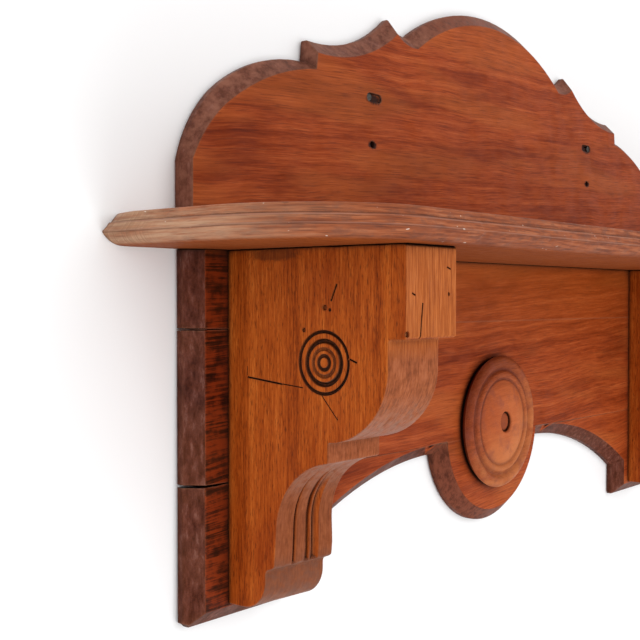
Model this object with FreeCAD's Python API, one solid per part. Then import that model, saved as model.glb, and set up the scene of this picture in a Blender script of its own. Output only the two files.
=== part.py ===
import FreeCAD, Part
import math
import os

# Wall shelf with two carved brackets on a shaped back board.
# Millimetres. The wall is the plane Y = 0 and the front of the shelf faces -Y.
# X = 0 is the middle of the board, Z = 0 is the underside of the shelf, +Z is up.

# ---- back board: a crest that stands on the shelf, and three planks edge to edge below it ----
BOARD_HALF_WIDTH = 374.0
BOARD_THICKNESS = 16.0
BOARD_CHAMFER = 10.5
END_CHAMFER = 0.8              # the crest's ends are left almost square below the lobes
STEP_CHAMFER = 2.0
LOBE_FOOT_CHAMFER = 5.5        # the chamfer grows from nothing along the lobe's foot
LOBE_CHAMFER = 9.8
LOBE_CROWN_CHAMFER = 10.9
LOBE_END_CHAMFER = 6.0
TAIL_BOTTOM_Z = -246.0
CREST_TOP_Z = 219.5
CREST_HOUSING = 1.0            # the crest's foot is let into the shelf this deep
UPPER_JOINT_Z = -52.0
LOWER_JOINT_Z = -154.0
CRACK_LENGTH = 46.0            # each joint has opened at the left end
UPPER_CRACK_GAP = 0.6
LOWER_CRACK_GAP = 1.3

# ---- crest outline ----
LOBE_OVERHANG = 1.5            # the crest is this much wider than the planks, at each end
LOBE_START_Z = 57.0
LOBE_SHOULDER_INSET = 30.1     # where the lobe's tight curve passes into its flatter one
LOBE_SHOULDER_Z = 106.6
LOBE_FOOT_BULGE = 4.4
LOBE_CROWN_BULGE = 8.8
LOBE_WIDTH = 123.0
LOBE_TOP_Z = 139.5
STEP_TOP_Z = 156.0
STEP_LEAN = 2.0
CUSP_X = 150.5
CUSP_Z = 190.5
SCOOP_BULGE = -10.4
NOTCH_X = 125.5
NOTCH_Z = 180.5
NOTCH_BULGE = -3.0

# ---- lower outline: tails, arches and the middle drop ----
TAIL_WIDTH = 105.0
ARCH_SPRING_Z = -215.0
ARCH_TOP_Z = -163.5
DROP_RADIUS = 88.0
DROP_BOTTOM_Z = -231.5

# ---- shelf board ----
SHELF_THICKNESS = 20.0
SHELF_END_OVERHANG = 60.5      # how far the nose stands past the back board
SHELF_NOSE_DEPTH = 180.0       # from the wall to the nose
SHELF_CORNER_RADIUS = 90.0
NOSE_HEIGHT = 8.0
TOP_INSET = 5.5
QUIRK_HEIGHT = 13.8
QUIRK_INSET = 2.2
QUIRK_STEP = 1.0
UNDER_INSET = 16.0
UNDER_BULGE = 2.2

# ---- brackets ----
BRACKET_THICKNESS = 54.0
BRACKET_INSET = 31.5           # from the board's end to the bracket's outer side
BLOCK_DEPTH = 142.5            # all bracket depths are from the board's face
BLOCK_HEIGHT = 56.0
BLOCK_STEP = 13.0
OVOLO_STRAIGHT = 21.0
OVOLO_BOTTOM_Z = -120.7
OVOLO_BULGE = 12.0
FILLET_DEPTH = 84.0
FILLET_HEIGHT = 13.0
COVE_BEND_DEPTH = 42.0
COVE_BEND_Z = -177.0
COVE_BULGE = -10.5
LIP_DEPTH = 40.0
LIP_Z = -204.5
FOOT_DEPTH = 32.5
FOOT_TOP_Z = -207.5
FOOT_BEND_Z = -213.0
FOOT_BOTTOM_DEPTH = 13.0
BRACKET_BOTTOM_Z = -234.0
FOOT_BULGE = 6.0

# ---- reeds along the cove, as shares of the bracket's thickness from its outer side ----
REED_GROOVES = ((0.30, 0.345), (0.545, 0.585), (0.64, 0.74))
REED_DEPTH = 2.2
REED_FADE = 12.0               # the grooves run out this far below the fillet

# ---- rosette cut into the outer side of each bracket ----
ROSETTE_RADIUS = 20.2
ROSETTE_DEPTH = 81.2
ROSETTE_Z = -71.5
ROSETTE_GROOVES = ((0.16, 0.27, 1.6), (0.37, 0.48, 1.1), (0.57, 0.76, 2.0), (0.88, 1.0, 1.6))

# ---- turned boss on the drop ----
BOSS_RADIUS = 59.0
BOSS_Z = -142.0
BOSS_FOOT_INSET = 3.5          # undercut behind the widest part of the rim
BOSS_BASE = 5.4
BOSS_RIM_WIDTH = 11.2
BOSS_RIM_RISE = 9.8
BOSS_GROOVE_WIDTH = 2.2
BOSS_GROOVE_FLOOR = 7.9
BOSS_BEAD_WIDTH = 7.0
BOSS_BEAD_RISE = 10.2
BOSS_FIELD_EDGE = 9.3
BOSS_FACE_RISE = 12.6
PLUG_RADIUS = 9.0
PLUG_SEAT = 2.0
PLUG_SUNK = 2.6

# ---- fixings ----
SCREW_RADIUS = 2.1
SCREW_HEAD_RADIUS = 4.1
SCREW_HEAD_HEIGHT = 2.4
SCREW_BITE = 27.0
SCREW_POINT = 6.0
BRACKET_SCREW_Z = (-26.0, -104.0, -196.0)
SHELF_SCREW_DEPTHS = (35.0, 110.0)
DOWEL_RADIUS = 4.0
DOWEL_BITE = 24.0              # how far each dowel goes into the crest and into the upper plank
DOWEL_SPACING = 140.0
DOWEL_COUNT = 5
BRAD_RADIUS = 0.8
BRAD_BITE = 11.0
BRAD_SUNK = 0.6
BRAD_COUNT = 4
BRAD_ANGLE = 62.0

# ---- holes and old nails in the crest ----
HANG_X = 184.0
HANG_Z = 86.5
HANG_RADIUS = 2.5
NAIL_X = 187.5
NAIL_Z = 122.5
NAIL_RADIUS = 1.5
NAIL_HEAD_RADIUS = 2.8
NAIL_HEAD_HEIGHT = 1.2
NAIL_SHORT = 1.0               # the nails end this far short of the wall
GOUGE_HALF_WIDTH = 3.0
GOUGE_LENGTH = 12.0            # between the centres of the gouge's round ends
GOUGE_DEPTH = 2.0

CREST_HALF_WIDTH = BOARD_HALF_WIDTH + LOBE_OVERHANG
CREST_FOOT_Z = SHELF_THICKNESS - CREST_HOUSING
BRACKET_OUTER_X = BOARD_HALF_WIDTH - BRACKET_INSET
BRACKET_MIDDLE_X = BRACKET_OUTER_X - BRACKET_THICKNESS / 2
SHELF_HALF_WIDTH = BOARD_HALF_WIDTH + SHELF_END_OVERHANG
DROP_CENTRE_Z = DROP_BOTTOM_Z + DROP_RADIUS
SPARE = 5.0                    # cutters run this far past what they cut
SMOOTH_JOIN = 0.1              # sine of the angle below which two sides count as one curve


def on_wall(x, z, y=0.0):
    return FreeCAD.Vector(x, y, z)


def curve(start, end, bulge, side):
    """Arc from start to end whose middle stands `bulge` off the chord, or a line for 0."""
    if bulge == 0:
        return Part.makeLine(start, end)
    chord = end - start
    across = chord.cross(side)
    across.normalize()
    middle = (start + end) * 0.5 + across * bulge
    return Part.Arc(start, middle, end).toShape()


def mirrored(shape):
    return shape.mirror(FreeCAD.Vector(0, 0, 0), FreeCAD.Vector(1, 0, 0))


def slab(x_low, x_high, z_low, z_high):
    """Block as thick as the board, used to keep or remove a stretch of it."""
    corner = FreeCAD.Vector(x_low, -BOARD_THICKNESS - SPARE, z_low)
    return Part.makeBox(x_high - x_low, BOARD_THICKNESS + 2 * SPARE, z_high - z_low, corner)


def right_half():
    """Corners of the right half from the drop up to the dome.

    Each has the bulge of the side that leads to it, and how wide that side's chamfer is
    at the side's start, middle and end.
    """
    full = (BOARD_CHAMFER, BOARD_CHAMFER, BOARD_CHAMFER)
    behind_shelf = (BOARD_CHAMFER, END_CHAMFER, END_CHAMFER)
    square = (END_CHAMFER, END_CHAMFER, END_CHAMFER)
    lobe_foot = (END_CHAMFER, LOBE_FOOT_CHAMFER, LOBE_CHAMFER)
    lobe_crown = (LOBE_CHAMFER, LOBE_CROWN_CHAMFER, LOBE_END_CHAMFER)
    step = (STEP_CHAMFER, STEP_CHAMFER, STEP_CHAMFER)
    junction_x = math.sqrt(DROP_RADIUS ** 2 - (ARCH_TOP_Z - DROP_CENTRE_Z) ** 2)
    spring_x = BOARD_HALF_WIDTH - TAIL_WIDTH
    rise = ARCH_TOP_Z - ARCH_SPRING_Z
    run = spring_x - junction_x
    arch_radius = (run ** 2 + rise ** 2) / (2 * rise)
    arch_half_chord = math.hypot(run, rise) / 2
    arch_bulge = math.sqrt(arch_radius ** 2 - arch_half_chord ** 2) - arch_radius
    shoulder_x = CREST_HALF_WIDTH - LOBE_SHOULDER_INSET
    step_x = CREST_HALF_WIDTH - LOBE_WIDTH
    return (
        (junction_x, ARCH_TOP_Z, ARCH_TOP_Z - DROP_BOTTOM_Z, full),
        (spring_x, ARCH_SPRING_Z, arch_bulge, full),
        (spring_x, TAIL_BOTTOM_Z, 0, full),
        (BOARD_HALF_WIDTH, TAIL_BOTTOM_Z, 0, full),
        (BOARD_HALF_WIDTH, 0, 0, full),
        (CREST_HALF_WIDTH, CREST_FOOT_Z, 0, behind_shelf),
        (CREST_HALF_WIDTH, LOBE_START_Z, 0, square),
        (shoulder_x, LOBE_SHOULDER_Z, LOBE_FOOT_BULGE, lobe_foot),
        (step_x, LOBE_TOP_Z, LOBE_CROWN_BULGE, lobe_crown),
        (step_x - STEP_LEAN, STEP_TOP_Z, 0, step),
        (CUSP_X, CUSP_Z, SCOOP_BULGE, full),
        (NOTCH_X, NOTCH_Z, NOTCH_BULGE, full),
    )


def outline_sides():
    """Sides of the whole board, anticlockwise from the front: (start, end, bulge, chamfers)."""
    right = right_half()
    corners = [(x, z) for x, z, bulge, chamfers in right]
    corners += [(-x, z) for x, z in reversed(corners)]
    climb = [(bulge, chamfers) for x, z, bulge, chamfers in right[1:]]
    descent = [(bulge, chamfers[::-1]) for bulge, chamfers in reversed(climb)]
    dome = (CREST_TOP_Z - NOTCH_Z, right[0][3])
    drop = (right[0][2], right[0][3])
    curves = climb + [dome] + descent + [drop]
    following = corners[1:] + corners[:1]
    return [
        (start, end, bulge, chamfers)
        for start, end, (bulge, chamfers) in zip(corners, following, curves)
    ]


def carrier(side):
    """Centre and radius of the circle that a curved side lies on, with the radius minus for a hollow."""
    (x0, z0), (x1, z1), bulge = side[:3]
    chord = math.hypot(x1 - x0, z1 - z0)
    radius = (chord ** 2 / 4 + bulge ** 2) / (2 * bulge)
    inward = bulge - radius
    return (
        (x0 + x1) / 2 + (z1 - z0) / chord * inward,
        (z0 + z1) / 2 - (x1 - x0) / chord * inward,
        radius,
    )


def distance_inside(side, x, z):
    """How far a point lies inside one side, and the direction in which that grows."""
    (x0, z0), (x1, z1), bulge = side[:3]
    if bulge == 0:
        chord = math.hypot(x1 - x0, z1 - z0)
        grow_x = -(z1 - z0) / chord
        grow_z = (x1 - x0) / chord
        return (x - x0) * grow_x + (z - z0) * grow_z, grow_x, grow_z
    centre_x, centre_z, radius = carrier(side)
    reach = math.hypot(x - centre_x, z - centre_z)
    turn = 1 if radius > 0 else -1
    return (
        turn * (abs(radius) - reach),
        -turn * (x - centre_x) / reach,
        -turn * (z - centre_z) / reach,
    )


def mitre(before, after, inset_before, inset_after):
    """Corner of the inset outline: the point that lies the given distances inside both sides."""
    x, z = after[0]
    for _ in range(12):
        first, first_x, first_z = distance_inside(before, x, z)
        second, second_x, second_z = distance_inside(after, x, z)
        first_miss = inset_before - first
        second_miss = inset_after - second
        spread = first_x * second_z - first_z * second_x
        if abs(spread) < SMOOTH_JOIN:
            x += first_miss * first_x
            z += first_miss * first_z
            continue
        x += (first_miss * second_z - second_miss * first_z) / spread
        z += (second_miss * first_x - first_miss * second_x) / spread
    return x, z


def outline(y, chamfered):
    """Closed wire of the board's outline in the plane `y`, moved in by its chamfers if asked."""
    sides = outline_sides()
    share = 1 if chamfered else 0
    corners = [
        mitre(sides[number - 1], side, share * sides[number - 1][3][2], share * side[3][0])
        for number, side in enumerate(sides)
    ]
    edges = []
    for number, side in enumerate(sides):
        start = on_wall(*corners[number], y)
        end = on_wall(*corners[(number + 1) % len(corners)], y)
        if side[2] == 0:
            edges.append(Part.makeLine(start, end))
            continue
        centre_x, centre_z, radius = carrier(side)
        centre = on_wall(centre_x, centre_z, y)
        spoke = (start + end) * 0.5 - centre
        spoke.normalize()
        reach = abs(radius - share * side[3][1])
        edges.append(Part.Arc(start, centre + spoke * reach, end).toShape())
    return Part.Wire(edges)


def whole_board():
    """The back board in one piece, chamfered round its front edge."""
    land_y = BOARD_CHAMFER - BOARD_THICKNESS
    land = Part.Face(outline(0, False)).extrude(on_wall(0, 0, land_y))
    bevel = Part.makeLoft([outline(land_y, False), outline(-BOARD_THICKNESS, True)], True, True)
    return land.fuse(bevel).removeSplitter()


def crack(joint_z, gap):
    """Sliver that opens a joint at the left end of the board."""
    end_x = -BOARD_HALF_WIDTH - SPARE
    opening = gap * (CRACK_LENGTH + SPARE) / CRACK_LENGTH
    corners = (
        on_wall(end_x, joint_z, SPARE),
        on_wall(-BOARD_HALF_WIDTH + CRACK_LENGTH, joint_z, SPARE),
        on_wall(end_x, joint_z + opening, SPARE),
        on_wall(end_x, joint_z, SPARE),
    )
    face = Part.Face(Part.makePolygon(corners))
    return face.extrude(FreeCAD.Vector(0, -BOARD_THICKNESS - 2 * SPARE, 0))


def plank(board, z_low, z_high, cutters):
    reach = CREST_HALF_WIDTH + SPARE
    piece = board.common(slab(-reach, reach, z_low, z_high))
    return piece.cut(cutters)


def screw(tip_bite, thickness):
    """Countersunk screw along +Z: head flush at the far side of `thickness`, point at the end."""
    length = thickness + tip_bite
    profile = Part.makePolygon((
        FreeCAD.Vector(0, 0, 0),
        FreeCAD.Vector(SCREW_HEAD_RADIUS, 0, 0),
        FreeCAD.Vector(SCREW_RADIUS, 0, SCREW_HEAD_HEIGHT),
        FreeCAD.Vector(SCREW_RADIUS, 0, length - SCREW_POINT),
        FreeCAD.Vector(0, 0, length),
        FreeCAD.Vector(0, 0, 0),
    ))
    return Part.Face(profile).revolve(FreeCAD.Vector(), FreeCAD.Vector(0, 0, 1), 360)


def aimed(shape, place, direction):
    """Turns a shape made along +Z to point along `direction` and sets it at `place`."""
    turn = FreeCAD.Rotation(FreeCAD.Vector(0, 0, 1), direction)
    shape = shape.copy()
    shape.Placement = FreeCAD.Placement(place, turn)
    return shape


def wall_side_screw(x, z):
    return aimed(screw(SCREW_BITE, BOARD_THICKNESS), on_wall(x, z), FreeCAD.Vector(0, -1, 0))


def bracket_screws():
    return [
        wall_side_screw(side * BRACKET_MIDDLE_X, z)
        for side in (-1, 1)
        for z in BRACKET_SCREW_Z
    ]


def back_dowels():
    """Upright dowels that pass through the shelf and join the crest to the upper plank."""
    first = -DOWEL_SPACING * (DOWEL_COUNT - 1) / 2
    length = SHELF_THICKNESS + 2 * DOWEL_BITE
    return [
        Part.makeCylinder(
            DOWEL_RADIUS,
            length,
            on_wall(first + step * DOWEL_SPACING, -DOWEL_BITE, -BOARD_THICKNESS / 2),
        )
        for step in range(DOWEL_COUNT)
    ]


def shelf_screws():
    down = FreeCAD.Vector(0, 0, -1)
    return [
        aimed(
            screw(SCREW_BITE, SHELF_THICKNESS),
            FreeCAD.Vector(side * BRACKET_MIDDLE_X, -BOARD_THICKNESS - depth, SHELF_THICKNESS),
            down,
        )
        for side in (-1, 1)
        for depth in SHELF_SCREW_DEPTHS
    ]


def shelf_plan(inset):
    """Outline of the shelf at a distance `inset` inside its nose, with round front corners."""
    half = SHELF_HALF_WIDTH - inset
    back = 0
    front = inset - SHELF_NOSE_DEPTH
    radius = SHELF_CORNER_RADIUS - inset
    lean = radius * (1 - math.sqrt(0.5))
    edges = [
        Part.makeLine(on_wall(-half, 0, back), on_wall(half, 0, back)),
        Part.makeLine(on_wall(half, 0, back), on_wall(half, 0, front + radius)),
        Part.Arc(
            on_wall(half, 0, front + radius),
            on_wall(half - lean, 0, front + lean),
            on_wall(half - radius, 0, front),
        ).toShape(),
        Part.makeLine(on_wall(half - radius, 0, front), on_wall(-half + radius, 0, front)),
        Part.Arc(
            on_wall(-half + radius, 0, front),
            on_wall(-half + lean, 0, front + lean),
            on_wall(-half, 0, front + radius),
        ).toShape(),
        Part.makeLine(on_wall(-half, 0, front + radius), on_wall(-half, 0, back)),
    ]
    return Part.Wire(edges)


def shelf_layer(low_z, low_inset, high_z, high_inset):
    low = shelf_plan(low_inset)
    low.translate(FreeCAD.Vector(0, 0, low_z))
    high = shelf_plan(high_inset)
    high.translate(FreeCAD.Vector(0, 0, high_z))
    return Part.makeLoft([low, high], True, True)


def shelf_board(crest):
    """Shelf with a moulded edge: bevel, quirk and bevel over an undercut nose."""
    middle_z = NOSE_HEIGHT / 2
    middle_inset = UNDER_INSET / 2 - UNDER_BULGE
    layers = (
        shelf_layer(0, UNDER_INSET, middle_z, middle_inset),
        shelf_layer(middle_z, middle_inset, NOSE_HEIGHT, 0),
        shelf_layer(NOSE_HEIGHT, 0, QUIRK_HEIGHT, QUIRK_INSET),
        shelf_layer(QUIRK_HEIGHT, QUIRK_INSET + QUIRK_STEP, SHELF_THICKNESS, TOP_INSET),
    )
    board = layers[0].fuse(layers[1:]).removeSplitter()
    return board.cut([crest] + back_dowels() + shelf_screws())


def in_side(depth, z, x=0.0):
    """Point of a bracket's side: depth is measured out from the board's face."""
    return FreeCAD.Vector(x, -BOARD_THICKNESS - depth, z)


def bracket_edges():
    """Side outline of a bracket, from the top back corner round to the back of the foot."""
    toward_outside = FreeCAD.Vector(-1, 0, 0)
    ovolo_depth = BLOCK_DEPTH - BLOCK_STEP
    stops = (
        (in_side(BLOCK_DEPTH, 0), 0),
        (in_side(BLOCK_DEPTH, -BLOCK_HEIGHT), 0),
        (in_side(ovolo_depth, -BLOCK_HEIGHT), 0),
        (in_side(ovolo_depth, -BLOCK_HEIGHT - OVOLO_STRAIGHT), 0),
        (in_side(FILLET_DEPTH, OVOLO_BOTTOM_Z), OVOLO_BULGE),
        (in_side(FILLET_DEPTH, OVOLO_BOTTOM_Z - FILLET_HEIGHT), 0),
        (in_side(COVE_BEND_DEPTH, COVE_BEND_Z), COVE_BULGE),
        (in_side(LIP_DEPTH, LIP_Z), 0),
        (in_side(FOOT_DEPTH, FOOT_TOP_Z), 0),
        (in_side(FOOT_DEPTH, FOOT_BEND_Z), 0),
        (in_side(FOOT_BOTTOM_DEPTH, BRACKET_BOTTOM_Z), FOOT_BULGE),
        (in_side(0, BRACKET_BOTTOM_Z), 0),
        (in_side(0, 0), 0),
    )
    edges = []
    here = in_side(0, 0)
    for there, bulge in stops:
        edges.append(curve(here, there, bulge, toward_outside))
        here = there
    return edges


def reed_cutter(start_share, end_share):
    """Groove that follows the cove and runs out under the fillet."""
    toward_outside = FreeCAD.Vector(-1, 0, 0)
    top = in_side(FILLET_DEPTH - REED_FADE, OVOLO_BOTTOM_Z - FILLET_HEIGHT)
    cove_top = in_side(FILLET_DEPTH, OVOLO_BOTTOM_Z - FILLET_HEIGHT)
    bend = in_side(COVE_BEND_DEPTH, COVE_BEND_Z)
    deep_bend = in_side(COVE_BEND_DEPTH - REED_DEPTH, COVE_BEND_Z)
    deep_lip = in_side(LIP_DEPTH - REED_DEPTH, LIP_Z - SPARE)
    outside_lip = in_side(LIP_DEPTH + SPARE, LIP_Z - SPARE)
    outside = in_side(FILLET_DEPTH + SPARE, LIP_Z - SPARE)
    above = in_side(FILLET_DEPTH + SPARE, OVOLO_BOTTOM_Z - FILLET_HEIGHT)
    edges = [
        curve(cove_top, deep_bend, COVE_BULGE - REED_DEPTH / 3, toward_outside),
        Part.makeLine(deep_bend, deep_lip),
        Part.makeLine(deep_lip, outside_lip),
        Part.makeLine(outside_lip, outside),
        Part.makeLine(outside, above),
        Part.makeLine(above, cove_top),
    ]
    face = Part.Face(Part.Wire(edges))
    face.translate(FreeCAD.Vector(start_share * BRACKET_THICKNESS, 0, 0))
    width = (end_share - start_share) * BRACKET_THICKNESS
    return face.extrude(FreeCAD.Vector(width, 0, 0))


def rosette_cutter():
    """Rings sunk in the side face, turned about the rosette's middle."""
    rings = []
    for inner, outer, sunk in ROSETTE_GROOVES:
        low = inner * ROSETTE_RADIUS
        high = outer * ROSETTE_RADIUS
        profile = Part.makePolygon((
            FreeCAD.Vector(-SPARE, low, 0),
            FreeCAD.Vector(0, low, 0),
            FreeCAD.Vector(sunk, (low + high) / 2, 0),
            FreeCAD.Vector(0, high, 0),
            FreeCAD.Vector(-SPARE, high, 0),
            FreeCAD.Vector(-SPARE, low, 0),
        ))
        ring = Part.Face(profile).revolve(FreeCAD.Vector(), FreeCAD.Vector(1, 0, 0), 360)
        ring.translate(in_side(ROSETTE_DEPTH, ROSETTE_Z))
        rings.append(ring)
    return rings


def left_bracket():
    """Bracket with its outer side at X = 0 before it is moved to its place."""
    body = Part.Face(Part.Wire(bracket_edges())).extrude(FreeCAD.Vector(BRACKET_THICKNESS, 0, 0))
    grooves = [reed_cutter(start, end) for start, end in REED_GROOVES]
    body = body.cut(grooves + rosette_cutter())
    body.translate(FreeCAD.Vector(-BRACKET_OUTER_X, 0, 0))
    return body.cut(bracket_screws() + shelf_screws())


def boss_profile():
    """Half section of the boss: distance from its middle, and height above the board."""
    bead_outer = BOSS_RADIUS - BOSS_RIM_WIDTH - BOSS_GROOVE_WIDTH
    bead_inner = bead_outer - BOSS_BEAD_WIDTH
    points = (
        FreeCAD.Vector(BOSS_RADIUS, 0, BOSS_BASE),
        FreeCAD.Vector(BOSS_RADIUS - BOSS_RIM_WIDTH / 2, 0, BOSS_RIM_RISE),
        FreeCAD.Vector(BOSS_RADIUS - BOSS_RIM_WIDTH, 0, BOSS_GROOVE_FLOOR),
        FreeCAD.Vector(bead_outer, 0, BOSS_GROOVE_FLOOR),
        FreeCAD.Vector((bead_outer + bead_inner) / 2, 0, BOSS_BEAD_RISE),
        FreeCAD.Vector(bead_inner, 0, BOSS_FIELD_EDGE),
        FreeCAD.Vector((bead_inner + PLUG_RADIUS) / 2, 0, (BOSS_FIELD_EDGE + 2 * BOSS_FACE_RISE) / 3),
        FreeCAD.Vector(PLUG_RADIUS, 0, BOSS_FACE_RISE),
    )
    foot = FreeCAD.Vector(BOSS_RADIUS - BOSS_FOOT_INSET, 0, 0)
    seat = FreeCAD.Vector(PLUG_RADIUS, 0, PLUG_SEAT)
    middle = FreeCAD.Vector(0, 0, PLUG_SEAT)
    edges = [
        Part.makeLine(FreeCAD.Vector(0, 0, 0), foot),
        Part.makeLine(foot, points[0]),
        Part.Arc(points[0], points[1], points[2]).toShape(),
        Part.makeLine(points[2], points[3]),
        Part.Arc(points[3], points[4], points[5]).toShape(),
        Part.Arc(points[5], points[6], points[7]).toShape(),
        Part.makeLine(points[7], seat),
        Part.makeLine(seat, middle),
        Part.makeLine(middle, FreeCAD.Vector(0, 0, 0)),
    ]
    return Part.Face(Part.Wire(edges))


def on_boss(shape):
    """Stands a shape made along +Z out from the board's face at the boss's middle."""
    return aimed(shape, on_wall(0, BOSS_Z, -BOARD_THICKNESS), FreeCAD.Vector(0, -1, 0))


def boss_brads():
    ring_radius = BOSS_RADIUS - BOSS_RIM_WIDTH / 2
    head_height = BOSS_RIM_RISE - BRAD_SUNK
    start_y = -BOARD_THICKNESS - head_height
    length = head_height + BRAD_BITE
    brads = []
    for number in range(BRAD_COUNT):
        angle = math.radians(BRAD_ANGLE + 360 * number / BRAD_COUNT)
        place = on_wall(
            ring_radius * math.cos(angle),
            BOSS_Z + ring_radius * math.sin(angle),
            start_y,
        )
        brads.append(Part.makeCylinder(BRAD_RADIUS, length, place, FreeCAD.Vector(0, 1, 0)))
    return brads


def centre_boss():
    body = boss_profile().revolve(FreeCAD.Vector(), FreeCAD.Vector(0, 0, 1), 360)
    return on_boss(body).cut(boss_brads())


def boss_plug():
    height = BOSS_FACE_RISE - PLUG_SUNK - PLUG_SEAT
    plug = Part.makeCylinder(PLUG_RADIUS, height, FreeCAD.Vector(0, 0, PLUG_SEAT))
    return on_boss(plug)


def hanging_holes():
    """One round hole through the crest on each side."""
    run = BOARD_THICKNESS + 2 * SPARE
    return [
        Part.makeCylinder(HANG_RADIUS, run, on_wall(side * HANG_X, HANG_Z, SPARE), FreeCAD.Vector(0, -1, 0))
        for side in (-1, 1)
    ]


def gouges():
    """Long shallow hollows in the crest's face, each with a nail head in its outer end."""
    floor_y = GOUGE_DEPTH - BOARD_THICKNESS
    deep = GOUGE_DEPTH + SPARE
    forward = FreeCAD.Vector(0, -1, 0)
    hollows = []
    for side in (-1, 1):
        outer_x = side * NAIL_X
        inner_x = side * (NAIL_X - GOUGE_LENGTH)
        ends = [
            Part.makeCylinder(GOUGE_HALF_WIDTH, deep, on_wall(x, NAIL_Z, floor_y), forward)
            for x in (outer_x, inner_x)
        ]
        corner = on_wall(min(outer_x, inner_x), NAIL_Z - GOUGE_HALF_WIDTH, floor_y - deep)
        middle = Part.makeBox(GOUGE_LENGTH, deep, 2 * GOUGE_HALF_WIDTH, corner)
        hollows.append(middle.fuse(ends))
    return hollows


def crest_nails():
    """Old nails, each with its head on the floor of a gouge."""
    floor_y = GOUGE_DEPTH - BOARD_THICKNESS
    shank = -floor_y - NAIL_SHORT
    nails = []
    for side in (-1, 1):
        place = on_wall(side * NAIL_X, NAIL_Z, floor_y)
        head = Part.makeCylinder(NAIL_HEAD_RADIUS, NAIL_HEAD_HEIGHT, place, FreeCAD.Vector(0, -1, 0))
        body = Part.makeCylinder(NAIL_RADIUS, shank, place, FreeCAD.Vector(0, 1, 0))
        nails.append(head.fuse(body).removeSplitter())
    return nails


def export(name, solids):
    shape = solids[0] if len(solids) == 1 else Part.makeCompound(solids)
    shape.exportStep(os.path.join("parts", name + ".step"))


os.makedirs("parts", exist_ok=True)
board = whole_board()
wall_side = bracket_screws() + back_dowels() + boss_brads()
lower_crack = crack(LOWER_JOINT_Z, LOWER_CRACK_GAP)
upper_crack = crack(UPPER_JOINT_Z, UPPER_CRACK_GAP)
above = CREST_TOP_Z + SPARE
below = min(TAIL_BOTTOM_Z, DROP_BOTTOM_Z) - SPARE
crest_cutters = hanging_holes() + gouges() + crest_nails() + back_dowels()
crest = plank(board, CREST_FOOT_Z, above, crest_cutters)
left = left_bracket()
export("back_crest", [crest])
export("back_upper_plank", [plank(board, UPPER_JOINT_Z, 0, wall_side + [upper_crack])])
export("back_middle_plank", [plank(board, LOWER_JOINT_Z, UPPER_JOINT_Z, wall_side + [lower_crack])])
export("back_bottom_plank", [plank(board, below, LOWER_JOINT_Z, wall_side)])
export("shelf_board", [shelf_board(crest)])
export("left_bracket", [left])
export("right_bracket", [mirrored(left)])
export("centre_boss", [centre_boss()])
export("boss_plug", [boss_plug()])
export("boss_brads", boss_brads())
export("bracket_screws", bracket_screws())
export("shelf_screws", shelf_screws())
export("back_dowels", back_dowels())
export("crest_nails", crest_nails())
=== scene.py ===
import math

import bmesh
import bpy
from mathutils import Matrix, Vector, noise


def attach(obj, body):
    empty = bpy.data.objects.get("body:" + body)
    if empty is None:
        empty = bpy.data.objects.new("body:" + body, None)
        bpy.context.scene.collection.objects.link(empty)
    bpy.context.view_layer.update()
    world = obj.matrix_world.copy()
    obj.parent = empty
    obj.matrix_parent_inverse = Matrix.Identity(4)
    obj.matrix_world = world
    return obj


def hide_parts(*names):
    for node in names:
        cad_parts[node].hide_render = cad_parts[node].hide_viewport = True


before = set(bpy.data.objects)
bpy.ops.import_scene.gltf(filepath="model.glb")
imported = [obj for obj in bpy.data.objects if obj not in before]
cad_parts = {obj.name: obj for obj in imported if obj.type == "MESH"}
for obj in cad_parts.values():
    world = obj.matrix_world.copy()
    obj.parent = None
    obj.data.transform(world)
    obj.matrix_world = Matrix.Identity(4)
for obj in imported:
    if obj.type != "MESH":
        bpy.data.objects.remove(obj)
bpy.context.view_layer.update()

MM = 0.001

# ---- sizes in millimetres, as in the part ----
BOARD_THICKNESS = 16.0
UPPER_JOINT_Z = -52.0
LOWER_JOINT_Z = -154.0
CREST_HALF_WIDTH = 375.5
CREST_FOOT_Z = 19.0
SHELF_THICKNESS = 20.0
SHELF_HALF_WIDTH = 434.5
SHELF_NOSE_DEPTH = 180.0       # from the wall
SHELF_CORNER_RADIUS = 90.0

BRACKET_THICKNESS = 54.0
BRACKET_OUTER_X = 342.5
BLOCK_DEPTH = 142.5            # all bracket depths are from the board's face
BLOCK_BOTTOM_Z = -56.0
OVOLO_DEPTH = 129.5
OVOLO_TOP_Z = -77.0
OVOLO_BOTTOM_Z = -120.7
OVOLO_BULGE = 12.0
FILLET_DEPTH = 84.0
FILLET_BOTTOM_Z = -133.7
COVE_BEND_DEPTH = 42.0
COVE_BEND_Z = -177.0
COVE_BULGE = -10.5
LIP_DEPTH = 40.0
LIP_Z = -204.5
FOOT_DEPTH = 32.5
FOOT_TOP_Z = -207.5
FOOT_BEND_Z = -213.0
FOOT_BOTTOM_DEPTH = 13.0
FOOT_BULGE = 6.0
BRACKET_BOTTOM_Z = -234.0
ROSETTE_RADIUS = 20.2
ROSETTE_DEPTH = 81.2
ROSETTE_Z = -71.5

BOSS_Z = -142.0
BOSS_RADIUS = 59.0
PLUG_RADIUS = 9.0
PLUG_SEAT = 2.0
PLUG_TOP = 10.0
PLUG_PLAY = 0.12

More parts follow.
